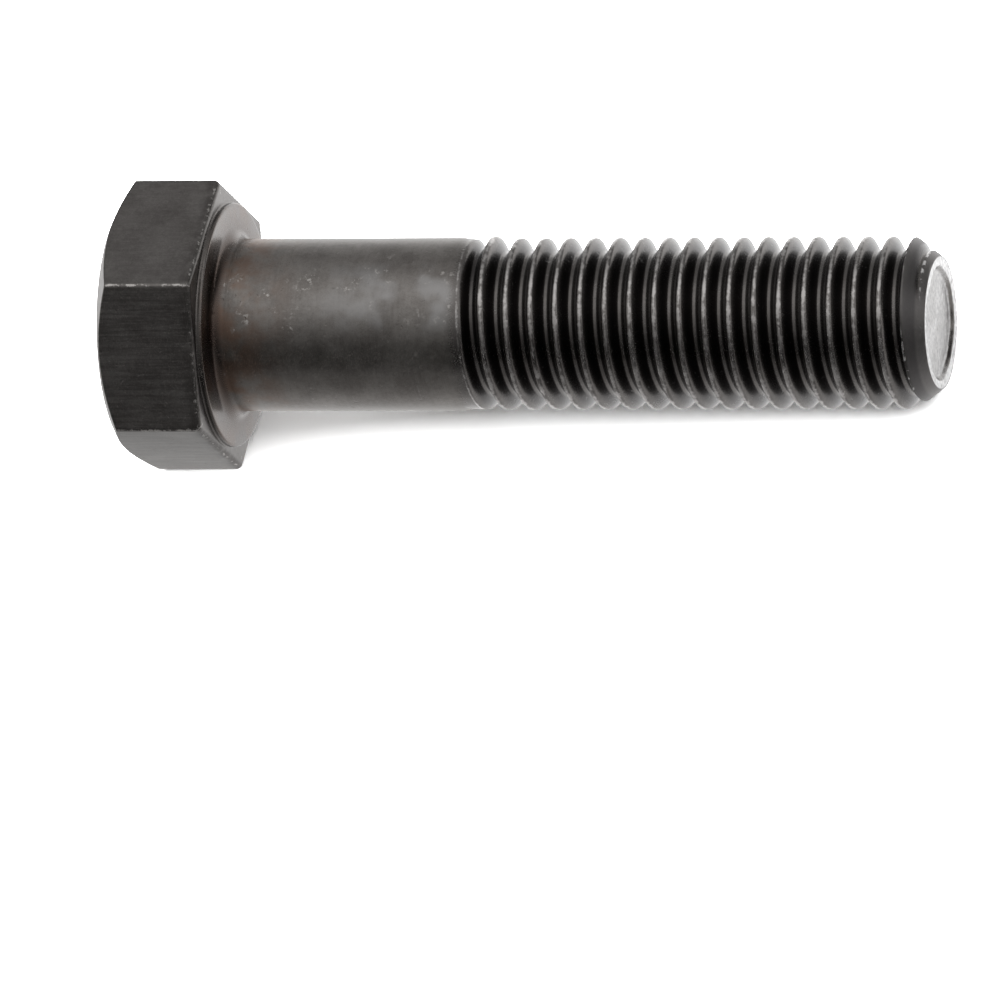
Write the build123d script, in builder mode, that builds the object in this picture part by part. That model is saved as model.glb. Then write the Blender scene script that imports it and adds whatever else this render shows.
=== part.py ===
"""Hex bolt, part-threaded: M12 x 1.75 x 50, one forged and rolled piece of steel.

The bolt lies along X. The origin is the centre of the bearing face under the head, the head
is on the -X side, the thread ends at +X, and two of the six flats face up and down (+Z, -Z).
Lengths are in millimetres.
"""
from build123d import *
from math import ceil, cos, radians, sin, sqrt, tan
import os

# Sizes of the bolt as a whole
nominal_diameter = 12.0
length = 50.0               # bearing face to the end of the point
across_flats = 17.87        # 18 nominal, and heads are made a little under it
head_height = 7.5           # bearing face to the top of the head

# Head
flat_corner_radius = 0.30   # the six long edges of the hexagon
crown_margin = 0.47         # the round top stays this far inside the flats
crown_angle = 30.0          # slope of the cone that trims the six top corners
washer_face_height = 0.40
washer_face_margin = 0.53   # the washer face stays this far inside the flats
neck_radius = 0.80          # rounding where the shank meets the bearing face

# Shank and thread
shank_undersize = 0.13      # the plain shank is this much under the nominal diameter
plain_length = 16.2         # bearing face to the first trace of thread
runout_length = 2.2         # over which the groove reaches its full depth
pitch = 1.75
flank_angle = 30.0          # of each flank, from square to the axis
crest_undersize = 0.17      # what the 6g tolerance takes off the crest, pitch and root diameters
pitch_undersize = 0.10
root_undersize = 0.06
crest_position = 18.46      # where one of the crests crosses the +Y side
root_dip = 0.01             # how far the root's rounding reaches under the core's surface
root_gap = 0.05             # from the middle of the groove to the edge of the ridge
foot_depth = 0.20           # how deep the ridge is rooted in the core

# Point
point_step = 0.35           # the end face stays this far inside the bottom of the groove
point_angle = 53.0          # of the chamfer, from square to the axis
point_rim = 0.60            # flat ring left round the shallow pan in the end face
pan_depth = 0.30
pan_angle = 35.0            # slope of the pan's wall, from the end face

# Marks on the top of the head: a dot and a dash, like the hour marks of a clock
mark_depth = 0.25
mark_margin = 2.2           # from the edge of the round top to the marks' middles
dot_radius = 0.75
dot_angle = 90.0
dash_length = 2.6
dash_width = 0.9
dash_angle = 240.0

# Radii that follow from these. The thread is the ISO metric one, cut from a sharp triangle.
triangle_height = pitch / 2 / tan(radians(flank_angle))
crest_radius = (nominal_diameter - crest_undersize) / 2
pitch_radius = (nominal_diameter - pitch_undersize) / 2 - triangle_height * 3 / 8
root_radius = (nominal_diameter - root_undersize) / 2 - triangle_height * 17 / 24
shank_radius = (nominal_diameter - shank_undersize) / 2
flat_distance = across_flats / 2
corner_distance = flat_distance / cos(radians(30))
crown_radius = flat_distance - crown_margin
washer_face_radius = flat_distance - washer_face_margin
point_radius = root_radius - point_step
pan_radius = point_radius - point_rim

# Outline of the ridge, across it from its middle: a rounded crest, straight flanks, and the
# roundings of the two roots. Groove and ridge are equally wide on the pitch radius, and every
# rounding meets its flank smoothly. The root roundings dip just under the core's surface.
crest_rounding = triangle_height / 2 - (crest_radius - pitch_radius)
crest_edge = crest_rounding * cos(radians(flank_angle))
crest_edge_radius = crest_radius - crest_rounding * (1 - sin(radians(flank_angle)))
root_bottom = root_radius - root_dip
root_rounding = triangle_height / 2 - (pitch_radius - root_bottom)
root_edge = pitch / 2 - root_rounding * cos(radians(flank_angle))
root_edge_radius = root_bottom + root_rounding * (1 - sin(radians(flank_angle)))

# The ridge starts inside the shank, with a crest on the +Z side, and runs on past the end
crest_at_top = crest_position + pitch / 4
ridge_start = crest_at_top - pitch * ceil((crest_at_top - plain_length) / pitch)
ridge_turns = ceil((length - ridge_start) / pitch) + 1
ridge_end = ridge_start + ridge_turns * pitch


def root_point(offset):
    """Point of the root's rounding, an offset along the axis from the middle of the groove."""
    height = root_rounding - sqrt(root_rounding**2 - offset**2)
    return (pitch / 2 - offset, root_bottom + height)


def mirrored(point):
    return (-point[0], point[1])


with BuildPart() as hex_bolt:
    # Core, from the ridge's first turn to past the end of the bolt
    with BuildSketch(Plane.YZ.offset(ridge_start)):
        Circle(root_radius)
    extrude(amount=ridge_end - ridge_start)

    # Ridge of the thread: its outline carried along a right-hand helix, one turn after another
    crest_start = (crest_edge, crest_edge_radius)
    root_start = (root_edge, root_edge_radius)
    root_middle = root_point((pitch / 2 - root_edge) / 2)
    root_end = root_point(root_gap)
    foot = (pitch / 2 - root_gap, root_bottom - foot_depth)
    with BuildSketch(Plane((ridge_start, 0, 0), (1, 0, 0), (0, -1, 0))) as ridge_outline:
        with BuildLine():
            ThreePointArc(mirrored(crest_start), (0, crest_radius), crest_start)
            Line(crest_start, root_start)
            ThreePointArc(root_start, root_middle, root_end)
            Polyline(root_end, foot, mirrored(foot), mirrored(root_end))
            ThreePointArc(mirrored(root_end), mirrored(root_middle), mirrored(root_start))
            Line(mirrored(root_start), mirrored(crest_start))
        make_face()
    with BuildLine() as ridge_path:
        for turn in range(ridge_turns):
            turn_start = (ridge_start + turn * pitch, 0, 0)
            Helix(pitch, pitch, pitch_radius, turn_start, (1, 0, 0))
    sweep(ridge_outline.sketch, path=ridge_path.wire(), is_frenet=True)

    # Point: the threaded rod trimmed to length, chamfered, and sunk in the middle of its end face
    waste_radius = nominal_diameter
    point_foot = length - (waste_radius - point_radius) * tan(radians(point_angle))
    pan_floor = pan_radius - pan_depth / tan(radians(pan_angle))
    with BuildSketch(Plane.XY) as point_waste:
        with BuildLine():
            Polyline(
                (length - pan_depth, 0),
                (length - pan_depth, pan_floor),
                (length, pan_radius),
                (length, point_radius),
                (point_foot, waste_radius),
                (ridge_end + pitch, waste_radius),
                (ridge_end + pitch, 0),
                close=True,
            )
        make_face()
    revolve(axis=Axis.X, mode=Mode.SUBTRACT)

    # Washer face, neck and plain shank, and the cone up which the groove runs out
    neck_start = (0, shank_radius + neck_radius)
    neck_end = (neck_radius, shank_radius)
    core_end = plain_length + 2 * runout_length
    with BuildSketch(Plane.XY) as shank_outline:
        with BuildLine():
            Polyline(
                (-washer_face_height, 0),
                (-washer_face_height, washer_face_radius),
                (0, washer_face_radius),
                neck_start,
            )
            RadiusArc(neck_start, neck_end, neck_radius)
            Polyline(
                neck_end,
                (plain_length, shank_radius),
                (core_end, 2 * root_radius - shank_radius),
                (core_end, 0),
                (-washer_face_height, 0),
            )
        make_face()
    revolve(axis=Axis.X)

    # Head: a hexagon behind the washer face, its top corners trimmed by a cone
    waste_width = corner_distance + washer_face_margin - crown_radius
    with BuildSketch(Plane.YZ.offset(-washer_face_height)) as hexagon:
        RegularPolygon(flat_distance, side_count=6, major_radius=False)
        fillet(hexagon.vertices(), radius=flat_corner_radius)
    extrude(amount=washer_face_height - head_height)
    with BuildSketch(Plane.XY) as corner_waste:
        with BuildLine():
            Polyline(
                (-head_height, crown_radius),
                (waste_width * tan(radians(crown_angle)) - head_height, crown_radius + waste_width),
                (-head_height, crown_radius + waste_width),
                close=True,
            )
        make_face()
    revolve(axis=Axis.X, mode=Mode.SUBTRACT)

    # Marks sunk into the top of the head
    with BuildSketch(Plane.YZ.offset(-head_height)) as marks:
        with PolarLocations(crown_radius - mark_margin, 1, start_angle=dot_angle):
            Circle(dot_radius)
        with PolarLocations(crown_radius - mark_margin, 1, start_angle=dash_angle):
            SlotOverall(dash_length, dash_width)
    extrude(amount=mark_depth, mode=Mode.SUBTRACT)

hex_bolt.part.label = "hex_bolt"
os.makedirs("parts", exist_ok=True)
export_step(hex_bolt.part, "parts/hex_bolt.step")

print(f"crest {crest_radius:.3f}, pitch {pitch_radius:.3f}, root {root_radius:.3f} mm radius")
print(f"volume {hex_bolt.part.volume:.0f} mm3, solids {len(hex_bolt.part.solids())}")
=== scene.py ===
# %% [markdown]
# # A blackened steel hex bolt
#
# The real bolt is one piece of steel. Its head was forged in a die, its thread was rolled or
# cut on the end of the plain shank, and the whole piece was blackened and oiled. So this
# lesson ends with one closed mesh. The forged blank, which is the head, neck, shank and end
# face, is a mesh built row by row in Python. The thread follows a rule, so Geometry Nodes
# roll it and weld it to the blank. The bolt lies along X, with the origin in the middle of
# the bearing face under the head.

# %% Load the fixed frame
from math import atan2, ceil, cos, pi, radians, sin, sqrt, tan

import bpy
from mathutils import Matrix, Vector, noise


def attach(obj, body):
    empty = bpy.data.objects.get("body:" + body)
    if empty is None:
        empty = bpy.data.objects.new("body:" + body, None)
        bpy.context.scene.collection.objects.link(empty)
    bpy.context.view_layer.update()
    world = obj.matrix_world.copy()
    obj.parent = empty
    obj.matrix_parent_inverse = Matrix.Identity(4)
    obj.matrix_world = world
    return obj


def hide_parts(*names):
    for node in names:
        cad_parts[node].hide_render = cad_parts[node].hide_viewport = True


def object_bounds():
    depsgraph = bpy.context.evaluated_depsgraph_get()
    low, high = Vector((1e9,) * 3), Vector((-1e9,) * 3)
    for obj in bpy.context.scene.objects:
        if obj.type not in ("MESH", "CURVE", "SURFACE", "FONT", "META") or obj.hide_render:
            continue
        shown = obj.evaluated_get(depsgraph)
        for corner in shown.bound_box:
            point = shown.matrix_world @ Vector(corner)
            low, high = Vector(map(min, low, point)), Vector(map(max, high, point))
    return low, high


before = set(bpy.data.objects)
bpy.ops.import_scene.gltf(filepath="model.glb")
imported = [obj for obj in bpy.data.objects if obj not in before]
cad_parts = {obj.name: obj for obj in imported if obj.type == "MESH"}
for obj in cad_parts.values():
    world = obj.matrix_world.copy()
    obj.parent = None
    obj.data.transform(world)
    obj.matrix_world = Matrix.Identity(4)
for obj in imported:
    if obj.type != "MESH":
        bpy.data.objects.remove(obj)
cad_box = [list(corner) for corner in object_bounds()]
MM = 0.001


def in_mm(metres):
    return [round(value / MM, 2) for value in metres]


print("frame from", in_mm(cad_box[0]), "to", in_mm(cad_box[1]), "mm")

# %% [markdown]
# ## The sizes
#
# Every size is in millimetres, as on a workshop drawing, and is turned into metres only where
# a mesh is written. The length, the head height and half the width across flats are read
# from the frame, so the visible bolt can't drift away from the model that it stands for.

# %% Sizes of the head, shank and point
head_height = -cad_box[0][0] / MM
length = cad_box[1][0] / MM
flat_distance = cad_box[1][2] / MM
crown_margin = 0.47
crown_radius = flat_distance - crown_margin
crown_angle = radians(30)
top_border = 0.3
top_edge = crown_radius - top_border
washer_face_height = 0.40
washer_face_margin = 0.53
washer_face_radius = flat_distance - washer_face_margin
corner_rounding = 0.30
neck_radius = 0.80
shank_radius = 5.935
point_radius = 4.546
point_angle = radians(53)
pan_rim = 0.60
pan_radius = point_radius - pan_rim
pan_depth = 0.30
print("head", round(head_height, 2), "mm high, length under it", round(length, 2), "mm")

# %% Sizes of the thread
pitch = 1.75
flank_angle = radians(30)
triangle_height = pitch / 2 / tan(flank_angle)
crest_radius = 5.915
root_radius = 4.896
pitch_radius = 5.382
crest_rounding = triangle_height / 2 - (crest_radius - pitch_radius)
root_rounding = triangle_height / 2 - (pitch_radius - root_radius)
crest_position = 18.46
thread_foot = 14.5
print("crest rounding", round(crest_rounding, 3), "root rounding", round(root_rounding, 3), "mm")

# %% [markdown]
# ## One set of columns for everything
#
# A lathe-like mesh is a stack of rings, and each ring has the same number of points. A
# hexagon needs many points near its six corners and few in between, so the columns crowd
# together at the corners. The thread uses the same columns, and that is why it can be welded
# to the shank with no gap.

# %% Where the columns stand
columns = 168
crowding = 0.8


def column_angle(column):
    """Angle of a column, from +Y towards +Z. The six corners are at 0, 60, 120 degrees..."""
    even = 2 * pi * column / columns
    return even - crowding * sin(6 * even) / 6


def hexagon_radius(angle):
    """Distance from the axis to the hexagon, whose long edges are slightly rounded."""
    off_corner = (angle + pi / 6) % (pi / 3) - pi / 6
    middle = (flat_distance - corner_rounding) / cos(pi / 6)
    tangent = atan2(corner_rounding / 2, middle + corner_rounding * cos(pi / 6))
    if abs(off_corner) >= tangent:
        return flat_distance / cos(pi / 6 - abs(off_corner))
    across = middle * sin(off_corner)
    return middle * cos(off_corner) + sqrt(corner_rounding**2 - across**2)


print("across corners", round(2 * hexagon_radius(0), 2), "mm")

# %% [markdown]
# ## The outline of one column
#
# Seen along one column, the blank is a line that goes from the edge of the round top, down
# the cone, along the flat, under the head, down the step of the washer face, round the neck
# and along the shank. Each corner of the line has its own rounding, because forged steel has
# no knife edges, and the light that a small rounding catches is what makes it look like
# metal. Two extra points beside every rounding keep the flat faces flat when the mesh is
# shaded smooth. Each point also gets a number for wear, which is highest at the middle of a
# sharp corner's rounding.

# %% Round the corners of an outline
shoulder = 0.12
widest_share = 0.3
wear_middle, wear_reach = 0.35, 0.45


def rounded(corners):
    """Points (x, radius, edge) of a line; each corner is (x, radius, rounding, steps, edge)."""
    places = [Vector(corner[:2]) for corner in corners]
    arcs = []
    for i, (x, radius, rounding, steps, edge) in enumerate(corners):
        if rounding == 0:
            arcs.append([places[i]])
            continue
        back = (places[i - 1] - places[i]).normalized()
        ahead = (places[i + 1] - places[i]).normalized()
        half = back.angle(ahead) / 2
        centre = places[i] + (back + ahead).normalized() * rounding / sin(half)
        start = (places[i] + back * rounding / tan(half) - centre).normalized()
        end = (places[i] + ahead * rounding / tan(half) - centre).normalized()
        turned = [start.slerp(end, step / steps) for step in range(steps + 1)]
        arcs.append([centre + direction * rounding for direction in turned])
    points = []
    for i, arc in enumerate(arcs):
        for step, p in enumerate(arc):
            off_middle = abs(step / max(len(arc) - 1, 1) - wear_middle)
            points.append((p.x, p.y, corners[i][4] * max(1 - off_middle / wear_reach, 0)))
        if i + 1 < len(arcs):
            first, last = arc[-1], arcs[i + 1][0]
            share = min(shoulder / (last - first).length, widest_share)
            for part in (share, 1 - share):
                p = first.lerp(last, part)
                points.append((p.x, p.y, 0.0))
    return points


# %% The corners of the blank, from the round top to the foot of the thread
shank_rings = (4.5, 8.0, 11.5, thread_foot)


def blank_outline(angle):
    outer = hexagon_radius(angle)
    crown_end = (outer - crown_radius) * tan(crown_angle) - head_height
    return rounded(
        [
            (-head_height, top_edge, 0, 0, 0.0),
            (-head_height, crown_radius, 0.25, 3, 0.6),
            (crown_end, outer, 0.15, 3, 0.8),
            (-washer_face_height, outer, 0.42, 5, 1.0),
            (-washer_face_height, washer_face_radius, 0.08, 2, 0.0),
            (0, washer_face_radius, 0.12, 3, 0.5),
            (0, shank_radius, neck_radius, 7, 0.0),
        ]
        + [(x, shank_radius, 0, 0, 0.0) for x in shank_rings]
    )


print(len(blank_outline(0)), "points down each column")

# %% [markdown]
# ## The marks on the head
#
# A maker stamps marks into the top of the head. Here they are a plain dot and a plain dash,
# placed like the hour marks of a clock. Each one is a rule for depth: how far a point lies
# inside the shape decides how deep it is pressed. Pressing the mesh, rather than cutting it,
# gives the soft edge that a stamp leaves.

# %% Depth of the stamped marks
mark_depth = 0.25
mark_distance = crown_radius - 2.2
dot_radius = 0.75
dot_angle = radians(90)
dash_half_length = 0.85
dash_half_width = 0.45
dash_angle = radians(240)
mark_slope = 0.14


def smooth(low, high, value):
    part = min(max((value - low) / (high - low), 0), 1)
    return part * part * (3 - 2 * part)


def stamped(angle, radius):
    """How deep the top of the head is pressed at a point."""
    place = Vector((radius * cos(angle), radius * sin(angle)))
    dot = Vector((cos(dot_angle), sin(dot_angle))) * mark_distance
    out = Vector((cos(dash_angle), sin(dash_angle)))
    along = min(max(place.dot(out) - mark_distance, -dash_half_length), dash_half_length)
    to_dot = (place - dot).length - dot_radius
    to_dash = (place - out * (mark_distance + along)).length - dash_half_width
    return mark_depth * smooth(mark_slope / 2, -mark_slope / 2, min(to_dot, to_dash))


print("deepest", stamped(dot_angle, mark_distance), "mm")

# %% [markdown]
# ## The end face
#
# The bar was sheared to length, and rolling the thread pushed the skin of the end forward.
# That leaves a flat rim around a shallow pan with a torn, grainy floor. The depth is a rule
# of the distance from the axis, with a little noise for the torn grain. The rim's own ring
# stays exact, because the thread is welded to it.

# %% Depth of the end face
pan_slope = 0.43
wander_size, wander_reach = 0.45, 0.25
grain_size = 0.42
grain_depth = 0.05
floor_depth = 0.03


def torn(angle, radius):
    """How far the end face lies behind the end of the bolt at a point."""
    place = Vector((radius * cos(angle), radius * sin(angle), 0))
    wander = wander_reach * noise.noise(place * wander_size + Vector((3, 7, 1)))
    pan = pan_depth * smooth(pan_radius + wander, pan_radius + wander - pan_slope, radius)
    grain = noise.noise(place / grain_size) + 0.5 * noise.noise(place / grain_size * 2.3)
    inside = smooth(point_radius, point_radius - 0.25, radius)
    coarser_inside = 0.4 + 0.6 * pan / pan_depth
    return pan + inside * (floor_depth + grain_depth * max(grain + 0.5, 0) * coarser_inside)


print("pan", round(torn(0, 0.0), 3), "mm deep in the middle")

# %% [markdown]
# ## The forged blank
#
# Now the rings are stacked: the round top from its pole outwards, the outline of each
# column, then a separate set of rings for the end face. The top has three times as many
# columns, so that the marks have clean edges, and one row of triangles joins it to the rest.
# Two numbers are stored at each point for the finish: how much of a worn edge it is, and how
# much of it is bare, torn steel.

# %% Stack the rings
points, faces, edge_wear, torn_steel = [], [], [], []


def add_ring(ring):
    """Adds points (x, radius, angle, edge, torn) and returns their numbers."""
    first = len(points)
    for x, radius, angle, edge, bare in ring:
        points.append((x * MM, radius * cos(angle) * MM, radius * sin(angle) * MM))
        edge_wear.append(edge)
        torn_steel.append(bare)
    return list(range(first, len(points)))


def add_quads(near, far):
    count = len(near)
    for i in range(count):
        j = (i + 1) % count
        faces.append((near[i], near[j], far[j], far[i]))


top_finer = 3
middle_radii = [0.9, 1.8, 2.7, 3.6, 4.3]
marked_radii = [4.7 + 0.14 * i for i in range(23)]
top_radii = middle_radii + marked_radii + [7.95, top_edge]
top_angles = [column_angle(i / top_finer) for i in range(columns * top_finer)]
pole = add_ring([(-head_height, 0, 0, 0, 0)])[0]
ring = None
for radius in top_radii:
    depths = [stamped(angle, radius) for angle in top_angles]
    wear = [0.25 * smooth(0, mark_depth, d) for d in depths]
    places = zip(depths, top_angles, wear)
    new_ring = [(depth - head_height, radius, angle, worn, 0) for depth, angle, worn in places]
    new = add_ring(new_ring)
    if ring is None:
        faces += [(pole, new[(i + 1) % len(new)], new[i]) for i in range(len(new))]
    else:
        add_quads(ring, new)
    ring = new
print("round top:", len(faces), "faces")

# %% Add the outline of every column
angles = [column_angle(i) for i in range(columns)]
outlines = [blank_outline(angle) for angle in angles]
beyond_crown = crown_radius + 0.5
flat_rows = [i for i, point in enumerate(outlines[0]) if point[1] > beyond_crown]


def ridge(angle, radius):
    """1 on the long edges of the hexagon, 0 on the flats between them."""
    off_corner = (angle + pi / 6) % (pi / 3) - pi / 6
    return 1 - smooth(0.03, 0.26, abs(off_corner) * radius)


for row in range(1, len(outlines[0])):
    new_ring = []
    for line, angle in zip(outlines, angles):
        x, radius, worn = line[row]
        if row in flat_rows:
            worn = max(worn, ridge(angle, radius))
        new_ring.append((x, radius, angle, worn, 0))
    new = add_ring(new_ring)
    if row == 1:
        for i in range(columns):
            j = (i + 1) % columns
            a, b, c, d = (ring[(top_finer * i + k) % len(ring)] for k in range(4))
            faces += [(a, b, new[i]), (b, new[j], new[i]), (b, c, new[j]), (c, d, new[j])]
    else:
        add_quads(ring, new)
    ring = new
print("head, neck and shank:", len(points), "points")

# %% Add the end face
rim_radii = [point_radius, 4.50, 4.42, 4.32, 4.22]
wall_radii = [4.14 - 0.07 * i for i in range(12)]
floor_radii = [3.2, 3.0, 2.8, 2.6, 2.4, 2.2, 2.0, 1.8, 1.55, 1.3, 1.0, 0.7, 0.4]
ring = None


def brightness(angle, radius):
    """How bare the end face is: bright, but darker in patches on the wall of the pan."""
    sunk = min(max(torn(angle, radius) / pan_depth, 0), 1)
    around = Vector((cos(angle), sin(angle), 0))
    patch = 0.5 + 0.9 * noise.noise(around * 1.3 + Vector((0, 0, 5)))
    on_wall = smooth(0.12, 0.22, sunk) * smooth(1.15, 0.85, sunk)
    rim = smooth(point_radius + 0.01, point_radius - 0.12, radius)
    return rim * (1 - on_wall * min(max(patch + 0.45, 0.3), 1))


for radius in rim_radii + wall_radii + floor_radii:
    new_ring = []
    for angle in angles:
        x = length - torn(angle, radius)
        new_ring.append((x, radius, angle, 0, brightness(angle, radius)))
    new = add_ring(new_ring)
    if ring is not None:
        add_quads(ring, new)
    ring = new
pole = add_ring([(length - torn(0, 0), 0, 0, 0, 1)])[0]
faces += [(ring[i], ring[(i + 1) % columns], pole) for i in range(columns)]

blank = bpy.data.meshes.new("bolt")
blank.from_pydata(points, [], faces)
for name, values in (("edge", edge_wear), ("torn", torn_steel)):
    blank.attributes.new(name, "FLOAT", "POINT").data.foreach_set("value", values)
blank.shade_smooth()
print("blank:", len(blank.polygons), "faces")

# %% [markdown]
# ## Arithmetic for node trees
#
# A thread and a finish are both rules, and a rule is easiest to read as a formula. This
# small class wraps a number that comes out of a node, so that `a * 2 + b` adds the Math
# nodes for it. Every other node comes from one method, which takes the node's type, its
# settings, and what goes into its sockets. The same class serves the geometry tree and the
# material.


# %% A number in a node tree
class Number:
    def __init__(self, tree, socket):
        self.tree = tree
        self.socket = socket

    def math(self, operation, *others):
        settings = {"operation": operation}
        return self.tree.node("ShaderNodeMath", settings, dict(enumerate((self, *others))))

    def __add__(self, other):
        return self.math("ADD", other)

    def __radd__(self, other):
        return self.math("ADD", other)

    def __sub__(self, other):
        return self.math("SUBTRACT", other)

    def __rsub__(self, other):
        return self.tree.number(other).math("SUBTRACT", self)

    def __mul__(self, other):
        return self.math("MULTIPLY", other)

    def __rmul__(self, other):
        return self.math("MULTIPLY", other)

    def __truediv__(self, other):
        return self.math("DIVIDE", other)

    def clamped(self, low=0, high=1):
        return self.math("MAXIMUM", low).math("MINIMUM", high)

    def rise(self, low, high):
        """0 below low, 1 above high, and a smooth step between. High may be the smaller."""
        part = ((self - low) / (high - low)).clamped()
        return part * part * (3 - 2 * part)


class Tree:
    """A node tree that is being built."""

    def __init__(self, nodes):
        self.nodes = nodes.nodes
        self.links = nodes.links

    def node(self, kind, settings=None, sockets=None, out=0):
        """Adds a node and returns its output."""
        made = self.nodes.new(kind)
        for name, value in (settings or {}).items():
            if name == "stops":
                ramp = made.color_ramp
                while len(ramp.elements) < len(value):
                    ramp.elements.new(0.5)
                for element, (position, colour) in zip(ramp.elements, value):
                    element.position, element.color = position, (*colour, 1)
            else:
                setattr(made, name, value)
        for name, value in (sockets or {}).items():
            if isinstance(value, Number):
                self.links.new(value.socket, made.inputs[name])
            else:
                made.inputs[name].default_value = value
        return Number(self, made.outputs[out]) if made.outputs else made

    def number(self, value):
        if isinstance(value, Number):
            return value
        return self.node("ShaderNodeMath", {"operation": "ADD"}, {0: value, 1: 0.0})

    def vector(self, x, y, z):
        return self.node("ShaderNodeCombineXYZ", None, {0: x, 1: y, 2: z})

    def noise(self, place, scale, detail=2.0, roughness=0.5):
        """Soft random blotches between 0 and 1."""
        sockets = {"Vector": place, "Scale": scale, "Detail": detail, "Roughness": roughness}
        return self.node("ShaderNodeTexNoise", {"noise_dimensions": "3D"}, sockets)

    def mix(self, factor, first, second):
        """Colour that goes from first to second."""
        first, second = (c if isinstance(c, Number) else (*c, 1) for c in (first, second))
        sockets = {0: factor, 6: first, 7: second}
        return self.node("ShaderNodeMix", {"data_type": "RGBA"}, sockets, out=2)


print("numbers in node trees can be added and multiplied")

# %% [markdown]
# ## Rolling the thread
#
# A thread is a ribbon wound round the bar. The tree starts with a flat grid. Along its
# length the grid goes round and round the columns. Across its width it goes from the middle
# of one groove, over the crest, to the middle of the next groove, so the next turn starts
# exactly where this one ends. Three rules move each point: how high the ISO outline is
# there, how deep the groove has been cut so far, and where the chamfer trims the end.
# Points beyond the ends of the thread pile up on the last ring of the blank and the rim of
# the end face, and one Merge by Distance closes all the seams.

# %% Describe the tree's inputs
across = 18
ribbon_start = crest_position - 3 * pitch
turns = ceil((length + pitch - ribbon_start) / pitch)
thread_sizes = {
    "pitch": pitch * MM,
    "first crest": ribbon_start * MM,
    "crest radius": crest_radius * MM,
    "root radius": root_radius * MM,
    "crest rounding": crest_rounding * MM,
    "root rounding": root_rounding * MM,
    "shank radius": shank_radius * MM,
    "point radius": point_radius * MM,
    "start": thread_foot * MM,
    "end": length * MM,
    "wear seed": 11.0,
}
tree = bpy.data.node_groups.new("roll the thread", "GeometryNodeTree")
tree.interface.new_socket("Geometry", in_out="INPUT", socket_type="NodeSocketGeometry")
tree.interface.new_socket("Geometry", in_out="OUTPUT", socket_type="NodeSocketGeometry")
input_ids = {}
for name in thread_sizes:
    made = tree.interface.new_socket(name, in_out="INPUT", socket_type="NodeSocketFloat")
    input_ids[name] = made.identifier
print(turns, "turns of", columns, "columns")

# %% Wind the grid round the bar
roll = Tree(tree)
group_in = tree.nodes.new("NodeGroupInput")


def size(name):
    return Number(roll, group_in.outputs[name])


grid_sockets = {"Vertices X": columns * turns + 1, "Vertices Y": across + 1}
grid = roll.node("GeometryNodeMeshGrid", None, grid_sockets)
index = roll.node("GeometryNodeInputIndex")
column = ((index + 0.5) / (across + 1)).math("FLOOR")
row = index - column * (across + 1)
turn = ((column + 0.5) / columns).math("FLOOR")
even = (column - turn * columns) * (2 * pi / columns)
angle = even - (even * 6).math("SINE") * (crowding / 6)
crest_x = size("first crest") + size("pitch") * (turn + angle / (2 * pi))
side = row * (2 / across) - 1
print("grid of", (columns * turns + 1) * (across + 1), "points")

# %% The ISO outline across the ribbon
# A third of the points on each side go to the crest, a third to the flank, a third to the root
step = side.math("ABSOLUTE") * 3
crest_turn = step.clamped() * (pi / 3)
flank_part = (step - 1).clamped()
root_turn = (3 - step).clamped() * (pi / 3)
sin60, cos60 = sin(pi / 3), 0.5
flank_reach = size("pitch") / 2 - (size("crest rounding") + size("root rounding")) * sin60
reach = (
    size("crest rounding") * crest_turn.math("SINE")
    + flank_reach * flank_part
    + size("root rounding") * (sin60 - root_turn.math("SINE"))
)
drop = (
    size("crest rounding") * (1 - crest_turn.math("COSINE"))
    + flank_reach * flank_part / tan(flank_angle)
    + size("root rounding") * (root_turn.math("COSINE") - cos60)
)
x = crest_x + reach * side.math("SIGN")
x = x.math("MAXIMUM", size("start")).math("MINIMUM", size("end"))
print("outline drops", round(crest_radius - root_radius, 3), "mm from crest to root")

# %% [markdown]
# ## Where the thread runs out
#
# A thread does not stop dead at the shank. The die bites suddenly, and its groove then deepens
# over about a turn. Metal that the groove pushes aside has to go somewhere: the shank is drawn
# in a little before the first groove and swells a little behind it. All this is a rule along
# the axis, so a few smooth steps are enough. Where they take a place along the bolt, it is in
# millimetres from the bearing face. After that the crests are rubbed down a little, unevenly,
# with a few nicks, and the seed makes every run give the same wear.

# %% How deep the groove is cut
bite_x = 16.78
bite_length = 0.17
bite_share = 0.42
full_x = 18.35


def cut_depth(groove_x):
    bite_end = bite_x + bite_length
    bite = ((groove_x - bite_x * MM) / (bite_length * MM)).clamped()
    rest = ((groove_x - bite_end * MM) / ((full_x - bite_end) * MM)).clamped()
    return bite * bite_share + rest * (1 - bite_share)


behind = cut_depth(crest_x - size("pitch") / 2)
ahead = cut_depth(crest_x + size("pitch") / 2)
depth = behind + (ahead - behind) * side.rise(-0.33, 0.33)
print("groove is full depth", full_x, "mm from the head")

# %% Wear the crests
around = 6
even_wear, rub_depth, nick_depth = 0.025, 0.06, 0.06
place = roll.vector(x / MM, angle.math("COSINE") * around, angle.math("SINE") * around)
seed = roll.vector(size("wear seed"), 0, 0)
seeded = roll.node("ShaderNodeVectorMath", {"operation": "ADD"}, {0: place, 1: seed})
on_crest = 1 - step.clamped()
rub = roll.noise(seeded, 1.1, 3.0) - 0.5
nick = roll.noise(seeded, 2.6, 2.0).rise(0.62, 0.74)
sunk = (rub * rub_depth + even_wear + nick * nick_depth) * on_crest.rise(0, 0.9) * MM
print("crests wear by up to", round(rub_depth / 2 + even_wear + nick_depth, 3), "mm")

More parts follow.
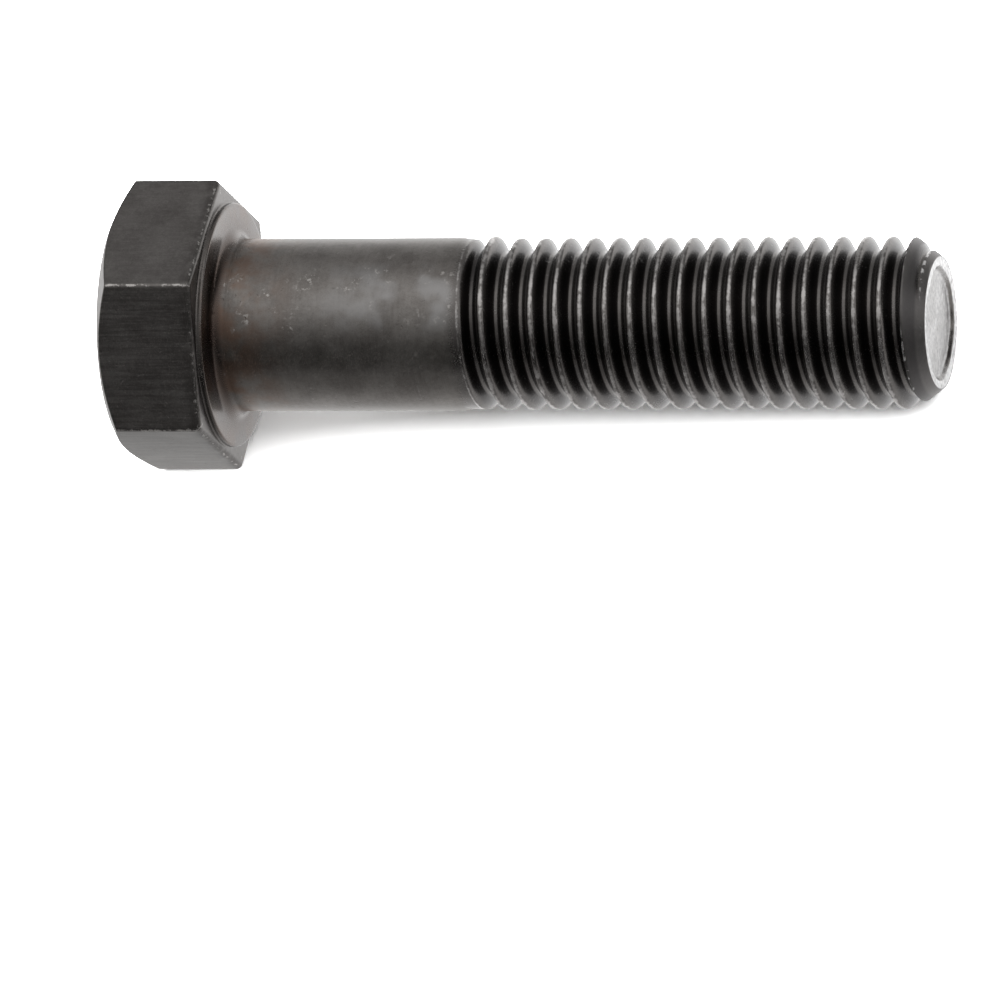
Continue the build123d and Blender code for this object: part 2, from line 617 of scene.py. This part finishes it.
# %% Put every point in its place
uncut_lift = crest_radius - root_radius + 0.2
raised = size("crest radius") - drop - sunk + (1 - depth) * uncut_lift * MM
drawn_in, swell = 0.10, 0.19
dip = (x / MM).rise(16.2, 17.2) * drawn_in
back_out = (x / MM).rise(17.6, 18.8) * swell
skin = size("shank radius") - dip * MM + back_out * MM
groove_blend, chamfer_blend = 0.05, 0.04
profile = skin.math("SMOOTH_MIN", raised, groove_blend * MM)
chamfer = size("point radius") + (size("end") - x) / tan(point_angle)
radius = profile.math("SMOOTH_MIN", chamfer, chamfer_blend * MM)
wound = roll.vector(x, radius * angle.math("COSINE"), radius * angle.math("SINE"))
print("thread ends in a chamfer of radius", point_radius, "mm")

# %% Numbers for the finish: depth in the groove, worn crest (partly a painted highlight), chamfer and burr
groove = (size("shank radius") - radius) / ((shank_radius - root_radius) * MM)
over = (raised - chamfer) / MM
crest_wear_and_highlight = (1 - (step * 0.7).clamped()) * depth.rise(0.1, 0.6) * over.rise(0.0, -0.1)
shaved = over.rise(-0.02, 0.06)
burr = over.rise(-0.14, 0.0) * over.rise(0.16, 0.0) * side.rise(0.1, -0.1)


def store(geometry, name, value):
    settings = {"data_type": "FLOAT", "domain": "POINT"}
    sockets = {"Geometry": geometry, "Name": name, "Value": value}
    return roll.node("GeometryNodeStoreNamedAttribute", settings, sockets)


ribbon = store(store(grid, "groove", groove), "crest", crest_wear_and_highlight)
ribbon = store(store(ribbon, "chamfer", shaved), "burr", burr)
ribbon = roll.node("GeometryNodeSetPosition", None, {"Geometry": ribbon, "Position": wound})
print("four numbers are stored at each point of the ribbon")

# %% [markdown]
# ## Blackened steel
#
# Black oxide is a thin skin on bright steel. It is thin enough that it keeps the sheen of
# the metal under it, so the material is a dark metal, not a black paint. The finish varies
# with how the piece was made and handled: forged flats are mottled, the drawn shank is satin
# with fine rings round it, the neck keeps a brown tint, edges and crests have rubbed through
# to grey, and the sheared end is bare. Some colour is painted light: painted shade in the
# thread's grooves, on the bearing face and along the head's edge next to it, a painted
# highlight on the upper side of the shank, and on the crests the worn grey is partly a painted
# highlight. Patterns use the bolt's own coordinates in millimetres, so their scale is the real
# one, and the stored numbers say where the edges, crests and torn steel are. A mask is a
# number between 0 and 1 that rises between two places, and a pattern is noise with its patches
# per millimetre, detail and roughness.

# %% Coordinates and masks
steel = bpy.data.materials.new("blackened steel")
steel.use_nodes = True
steel.node_tree.nodes.clear()
coat = Tree(steel.node_tree)
object_place = coat.node("ShaderNodeTexCoord", None, None, "Object")
to_mm = {0: object_place, "Scale": 1 / MM}
place = coat.node("ShaderNodeVectorMath", {"operation": "SCALE"}, to_mm)
split = coat.node("ShaderNodeSeparateXYZ", None, {0: place})
along = Number(coat, split.socket.node.outputs["X"])
side_y = Number(coat, split.socket.node.outputs["Y"])
side_z = Number(coat, split.socket.node.outputs["Z"])
from_axis = (side_y * side_y + side_z * side_z).math("SQRT")


def stored(name):
    return coat.node("ShaderNodeAttribute", {"attribute_name": name}, None, "Fac")


edge, bare, groove = stored("edge"), stored("torn"), stored("groove")
crest, shaved, burr = stored("crest"), stored("chamfer"), stored("burr")
in_thread = along.rise(16.4, 17.4)
on_head = along.rise(-0.38, -0.44)
on_bearing = along.rise(-0.42, -0.38) * along.rise(0.9, 0.3)
on_shank = along.rise(0.3, 1.0) * (1 - in_thread)
print("masks for the thread, head and shank")


# %% Patterns
def stretched(shares):
    """The place with each of its numbers scaled, so that a pattern on it turns into streaks."""
    return coat.node("ShaderNodeVectorMath", {"operation": "MULTIPLY"}, {0: place, 1: shares})


rings = stretched((1.0, 0.05, 0.05))
lines = stretched((0.06, 1.0, 1.0))
mottle = coat.noise(place, 0.45, 4.0, 0.6)
speckle = coat.noise(place, 3.2, 4.0, 0.65)
fine = coat.noise(place, 11.0, 2.0, 0.6)
drawn_rings = coat.noise(rings, 5.0, 3.0, 0.65)
trim_lines = coat.noise(lines, 3.4, 3.0, 0.7)
pits = coat.noise(place, 2.2, 3.0, 0.5).rise(0.66, 0.74)
print("patterns for mottling, grain, rings, trim lines and pits")

# %% Scuffs on the side of the shank that has rubbed against others, and a painted highlight on that upper side
rubbed_and_lit_side = (side_z * 0.90 - side_y * 0.44).rise(5.2, 5.8)
scuff_places = (coat.noise(place, 0.55, 2.0, 0.5) + rubbed_and_lit_side * 0.11).rise(0.62, 0.78)
scuffs = scuff_places * coat.noise(place, 2.6, 4.0, 0.7).rise(0.53, 0.66)
# Painted highlight: a lighter grey on the upper, near side of the shank, stronger towards the
# thread.
highlight = coat.noise(place, 0.40, 2.0, 0.5).rise(0.40, 0.62) * along.rise(4.0, 13.0) * rubbed_and_lit_side
scratches = coat.noise(rings, 2.2, 4.0, 0.7).rise(0.66, 0.74) * speckle.rise(0.4, 0.6)
print("scuffs, scratches and a handled sheen")

# %% Where the skin has rubbed through, with the crests' grey partly a painted highlight
chips = coat.noise(place, 2.3, 4.0, 0.75)
worn_edge = (edge - 0.86 + (chips - 0.5) * 2.6).rise(0.0, 0.3) * edge.rise(0.25, 0.7)
rub = coat.noise(place, 1.3, 4.0, 0.7) - 0.5
# The crests' grey is wear, and partly a painted highlight that broadens the crest lines.
crest_wear_and_highlight = (crest + rub * 2.2 - 0.50).rise(0.0, 0.55) * crest.rise(0.1, 0.5)
burr_chips = burr.rise(0.05, 0.5) * coat.noise(place, 1.8, 3.0, 0.7).rise(0.48, 0.58)
print("wear follows the edges and the crests")

# %% The skin's own colours: forged head and drawn shank
forged_dark, forged_light = (0.118, 0.110, 0.105), (0.152, 0.143, 0.137)
drawn_dark, drawn_light = (0.150, 0.139, 0.130), (0.205, 0.192, 0.181)
head_skin = coat.mix(mottle.rise(0.3, 0.7), forged_dark, forged_light)
shank_skin = coat.mix(mottle.rise(0.35, 0.68), drawn_dark, drawn_light)
skin = coat.mix(on_shank, head_skin, shank_skin)
print("forged and drawn steel")

# %% Grain, light and dark
grain_grey, grain_and_shade_dark = (0.27, 0.26, 0.25), (0.055, 0.050, 0.047)
on_sides = on_head * (side_y * side_y).rise(16.0, 36.0)
grain = (trim_lines.rise(0.34, 0.66) - 0.5) * (on_head * 0.25 + on_sides * 0.55)
grain = grain + (fine - 0.5) * 1.3 + (speckle - 0.5) * 1.1
grain = grain + (drawn_rings - 0.5) * on_shank * 0.7
skin = coat.mix(grain.clamped() * 0.55, skin, grain_grey)
skin = coat.mix((grain * -1).clamped() * 0.65, skin, grain_and_shade_dark)
print("grain on every side")

# %% Brown neck, painted shade on the bearing face and by its edge, and a painted highlight on the shank
neck_brown, bearing_dark = (0.165, 0.098, 0.066), (0.062, 0.048, 0.042)
highlight_grey = (0.31, 0.305, 0.305)
near_neck = along.rise(6.5, 0.8) * along.rise(-0.3, 0.3)
brown = near_neck * coat.noise(place, 0.33, 3.0, 0.6).rise(0.36, 0.62)
skin = coat.mix(brown * 0.7, skin, neck_brown)
# Painted shade: the bearing face is darkened, most of all next to the shank.
bearing_shade = on_bearing * (from_axis.rise(8.2, 6.5) * 0.62 + 0.25)
skin = coat.mix(bearing_shade, skin, bearing_dark)
# Painted shade: a dark band, in patches, along the flats next to the bearing face.
edge_shade = on_head * along.rise(-1.5, -0.75) * coat.noise(place, 1.0, 3.0, 0.6).rise(0.35, 0.6)
skin = coat.mix(edge_shade * 0.55, skin, grain_and_shade_dark)
# Painted highlight on the upper side of the shank.
skin = coat.mix(highlight * on_shank * 0.60, skin, highlight_grey)
print("brown near the neck")

# %% Painted shade in the grooves, then the scuffs, the chamfer and the worn places, with a painted highlight in part on the crests
groove_shade_black, scuff_grey = (0.040, 0.037, 0.037), (0.48, 0.46, 0.44)
chamfer_grey, burr_bright = (0.16, 0.155, 0.155), (0.75, 0.74, 0.73)
crest_wear_and_highlight_grey, edge_grey = (0.50, 0.48, 0.47), (0.50, 0.48, 0.46)
torn_dull, torn_bright = (0.48, 0.48, 0.485), (0.80, 0.795, 0.79)
# Painted shade: the thread is darkened with depth in the groove, a little less at the root.
groove_shade = groove.rise(0.05, 0.6) * (1 - groove.rise(0.82, 0.98) * 0.75)
skin = coat.mix(in_thread * groove_shade * 0.88, skin, groove_shade_black)
scuffed = (scuffs * 0.80 + scratches * 0.30).clamped() * on_shank
skin = coat.mix(scuffed, skin, scuff_grey)
skin = coat.mix(shaved * 0.35, skin, chamfer_grey)
# Worn crests in grey, partly a painted highlight.
skin = coat.mix(crest_wear_and_highlight * 0.68, skin, crest_wear_and_highlight_grey)
skin = coat.mix(burr_chips * 0.9, skin, burr_bright)
skin = coat.mix(worn_edge * 0.80, skin, edge_grey)
skin = coat.mix(bare, skin, coat.mix(speckle.rise(0.3, 0.7), torn_dull, torn_bright))
print("dark skin with brown, grey and bright parts")

# %% Roughness and relief
satin = 0.36
rough = satin + (mottle - 0.5) * 0.16 + (fine - 0.5) * 0.14
rough = rough - in_thread * 0.12 - on_bearing * 0.10
rough = rough + bare * 0.14 + shaved * 0.18 + scuffs * on_shank * 0.10
ring_height, trim_height, pit_depth = 0.007, 0.009, 0.012
speckle_height, fine_height, torn_height = 0.006, 0.003, 0.035
relief = (
    drawn_rings * on_shank * ring_height
    + trim_lines * on_head * trim_height
    + speckle * speckle_height
    + fine * fine_height
    - pits * pit_depth
    + speckle * bare * torn_height
)
bump = coat.node("ShaderNodeBump", None, {"Strength": 1.0, "Distance": MM, "Height": relief})
steel_sockets = {
    "Base Color": skin,
    "Metallic": 1.0,
    "Roughness": rough,
    "Normal": bump,
}
surface = coat.node("ShaderNodeBsdfPrincipled", None, steel_sockets)
coat.node("ShaderNodeOutputMaterial", None, {"Surface": surface})
print("material has", len(steel.node_tree.nodes), "nodes")

# %% [markdown]
# ## Weld thread and blank
#
# The ribbon and the blank are joined and their doubles are merged. The modifier's inputs are
# set by their identifiers before Blender first evaluates it. Then the result is taken as a
# plain mesh, the modifier goes, and two numbers are checked: no edge may be open, and the
# volume has to be positive, which means that the faces point outwards.

# %% Finish the tree and run it
joined = roll.node("GeometryNodeJoinGeometry", None, {"Geometry": ribbon})
roll.links.new(group_in.outputs["Geometry"], joined.socket.node.inputs["Geometry"])
weld_distance = 0.002 * MM
weld_sockets = {"Geometry": joined, "Distance": weld_distance}
merged = roll.node("GeometryNodeMergeByDistance", None, weld_sockets)
smoothed = roll.node("GeometryNodeSetShadeSmooth", None, {"Geometry": merged})
real = roll.node("GeometryNodeRealizeInstances", None, {"Geometry": smoothed})
painted = roll.node("GeometryNodeSetMaterial", None, {"Geometry": real, "Material": steel})
group_out = tree.nodes.new("NodeGroupOutput")
roll.links.new(painted.socket, group_out.inputs["Geometry"])

bolt = bpy.data.objects.new("bolt", blank)
bpy.context.scene.collection.objects.link(bolt)
roller = bolt.modifiers.new("roll the thread", "NODES")
roller.node_group = tree
for name, value in thread_sizes.items():
    roller[input_ids[name]] = value
evaluated = bolt.evaluated_get(bpy.context.evaluated_depsgraph_get())
whole = bpy.data.meshes.new_from_object(evaluated)
bolt.modifiers.remove(roller)
bolt.data = whole
whole.name = "bolt"
print("bolt:", len(whole.vertices), "points,", len(whole.polygons), "faces")

# %% Check that it is closed and faces outwards
uses = {}
for polygon in whole.polygons:
    for key in polygon.edge_keys:
        uses[key] = uses.get(key, 0) + 1
open_edges = [key for key, count in uses.items() if count != 2]
whole.calc_loop_triangles()
corners = [vertex.co.copy() for vertex in whole.vertices]
triangles = [[corners[i] for i in triangle.vertices] for triangle in whole.loop_triangles]
volume = sum(a.dot(b.cross(c)) for a, b, c in triangles) / 6
print("open or doubled edges:", len(open_edges))
print("volume", round(volume / MM**3), "mm3 in", len(triangles), "triangles")

# %% Put it on the frame
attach(bolt, "root")
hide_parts("hex_bolt")

# %% [markdown]
# ## The floor
#
# The bolt lies on its side. Two places touch the floor: the lower flat, at the edge of the
# bearing side, and the last turn of the thread. The head is wider than the thread, so the
# floor slopes a little against the bolt's axis. It is a plain sheet of white paper.

# %% Floor
floor_slope = 0.0621
floor_half = 1.5
square = ((-1, -1), (1, -1), (1, 1), (-1, 1))
touch = Vector((-washer_face_height, 0, -flat_distance)) * MM
slant = Vector((1, 0, floor_slope)).normalized()
floor_mesh = bpy.data.meshes.new("floor")
floor_corners = [
    touch + slant * floor_half * i + Vector((0, 1, 0)) * floor_half * j for i, j in square
]
floor_mesh.from_pydata(floor_corners, [], [(0, 1, 2, 3)])
floor = bpy.data.objects.new("floor", floor_mesh)
bpy.context.scene.collection.objects.link(floor)
paper = bpy.data.materials.new("white paper")
paper.use_nodes = True
paper.node_tree.nodes.clear()
sheet = Tree(paper.node_tree)
paper_sockets = {"Base Color": (0.93, 0.93, 0.93, 1), "Roughness": 0.9}
sheet_surface = sheet.node("ShaderNodeBsdfPrincipled", None, paper_sockets)
sheet.node("ShaderNodeOutputMaterial", None, {"Surface": sheet_surface})
floor_mesh.materials.append(paper)
print("floor slopes", round(floor_slope * 180 / pi, 2), "degrees")

# %% [markdown]
# ## The light
#
# Dark metal shows what it mirrors, so the light is shaped like the inside of a light tent: an
# arch that is dark low in front, bright overhead and paler again behind. It is dimmer to the
# sides. A wide lamp overhead lights only what is not metal, which is the paper. A glowing
# sheet just above the paper is seen only in reflections: it stands for the light table that
# fills the underside of the bolt.

# %% The tent that the steel mirrors
# Each pair is an angle in degrees up from the front horizon, over the top to the back, and
# the brightness there
tent_strength = 1.2
room_light = [
    (0, 0.06),
    (18, 0.15),
    (43, 0.45),
    (66, 0.95),
    (80, 1.15),
    (100, 1.10),
    (123, 0.55),
    (146, 0.44),
    (180, 0.75),
]
world = bpy.data.worlds.new("light tent")
bpy.context.scene.world = world
world.use_nodes = True
world.node_tree.nodes.clear()
tent = Tree(world.node_tree)
direction = tent.node("ShaderNodeTexCoord", None, None, "Generated")
tent_split = tent.node("ShaderNodeSeparateXYZ", None, {0: direction}).socket.node.outputs
sideways, forwards, upwards = (Number(tent, socket) for socket in tent_split)
turned = upwards.math("MAXIMUM", 0.0).math("ARCTAN2", forwards * -1) / pi
stops = [(degrees / 180, (light / tent_strength,) * 3) for degrees, light in room_light]
arch = tent.node("ShaderNodeValToRGB", {"stops": stops}, {0: turned})
side_fall = 1 - (sideways * sideways).rise(0.15, 0.65) * forwards.rise(-0.1, 0.35) * 0.75
tent_colour = tent.mix(side_fall, (0, 0, 0), arch)
glow = tent.node("ShaderNodeBackground", None, {"Color": tent_colour, "Strength": tent_strength})
tent.node("ShaderNodeOutputWorld", None, {"Surface": glow})
print("light tent with", len(stops), "stops")

# %% The lamp over the paper
lamp = bpy.data.lights.new("overhead", "AREA")
lamp.shape = "RECTANGLE"
lamp.size, lamp.size_y, lamp.energy = 1.6, 1.4, 60.0
overhead = bpy.data.objects.new("overhead", lamp)
overhead.location = (0.03, 0.05, 0.6)
overhead.visible_camera = False
overhead.visible_glossy = False
bpy.context.scene.collection.objects.link(overhead)
print("lamp", round(overhead.location.z, 2), "m up")

# %% The light table that the steel mirrors
table_mesh = bpy.data.meshes.new("light table")
table_half = 0.6
table_lift = 0.06 * MM


def on_table(x, y):
    return (x, y, touch.z + floor_slope * (x - touch.x) + table_lift)


table_corners = [on_table(i * table_half, j * table_half) for i, j in square]
table_mesh.from_pydata(table_corners, [], [(0, 1, 2, 3)])
table = bpy.data.objects.new("light table", table_mesh)
bpy.context.scene.collection.objects.link(table)
for kind in ("camera", "diffuse", "transmission", "volume_scatter", "shadow"):
    setattr(table, "visible_" + kind, False)
glass = bpy.data.materials.new("glowing sheet")
glass.use_nodes = True
glass.node_tree.nodes.clear()
sheen = Tree(glass.node_tree)
table_place = sheen.node("ShaderNodeTexCoord", None, None, "Object")
table_split = sheen.node("ShaderNodeSeparateXYZ", None, {0: table_place}).socket.node.outputs
table_y = Number(sheen, table_split["Y"])
table_strength = 1.6
table_light = 0.05 + table_y.rise(-0.055, -0.012) * 0.33 + table_y.rise(-0.014, -0.002) * 0.80
table_light = table_light + table_y.rise(0.002, 0.014) * 0.40
table_colour = sheen.mix(table_light / table_strength, (0, 0, 0), (1, 1, 1))
table_sockets = {"Color": table_colour, "Strength": table_strength}
table_surface = sheen.node("ShaderNodeEmission", None, table_sockets)
sheen.node("ShaderNodeOutputMaterial", None, {"Surface": table_surface})
table_mesh.materials.append(glass)
print("light table", round(table_lift / MM, 2), "mm above the paper")

# %% [markdown]
# ## The camera
#
# A long lens from a metre away keeps the bolt's edges nearly parallel, as in a catalogue
# picture. The camera is placed by its own three directions: right, up and back.

# %% Camera
turn_right = radians(15.853)
look_down = radians(45.30)
camera_distance = 1014.0
aim = (26.0, 0.0, 0.0)
slide_right, slide_up = -6.88, -12.06
turn_sin, turn_cos = sin(turn_right), cos(turn_right)
look_sin, look_cos = sin(look_down), cos(look_down)
right = Vector((turn_cos, turn_sin * look_cos, -turn_sin * look_sin))
up = Vector((0, look_sin, look_cos))
back = Vector((turn_sin, -turn_cos * look_cos, turn_cos * look_sin))
spot = Vector(aim) + right * slide_right + up * slide_up + back * camera_distance
camera = bpy.data.objects.new("camera", bpy.data.cameras.new("camera"))
camera.data.lens = 533.8
camera.data.sensor_width = 36.0
camera.matrix_world = Matrix((right, up, back)).transposed().to_4x4()
camera.location = spot * MM
bpy.context.scene.collection.objects.link(camera)
bpy.context.scene.camera = camera
bpy.context.scene.view_settings.view_transform = "Standard"
print("camera", round(camera_distance), "mm away")
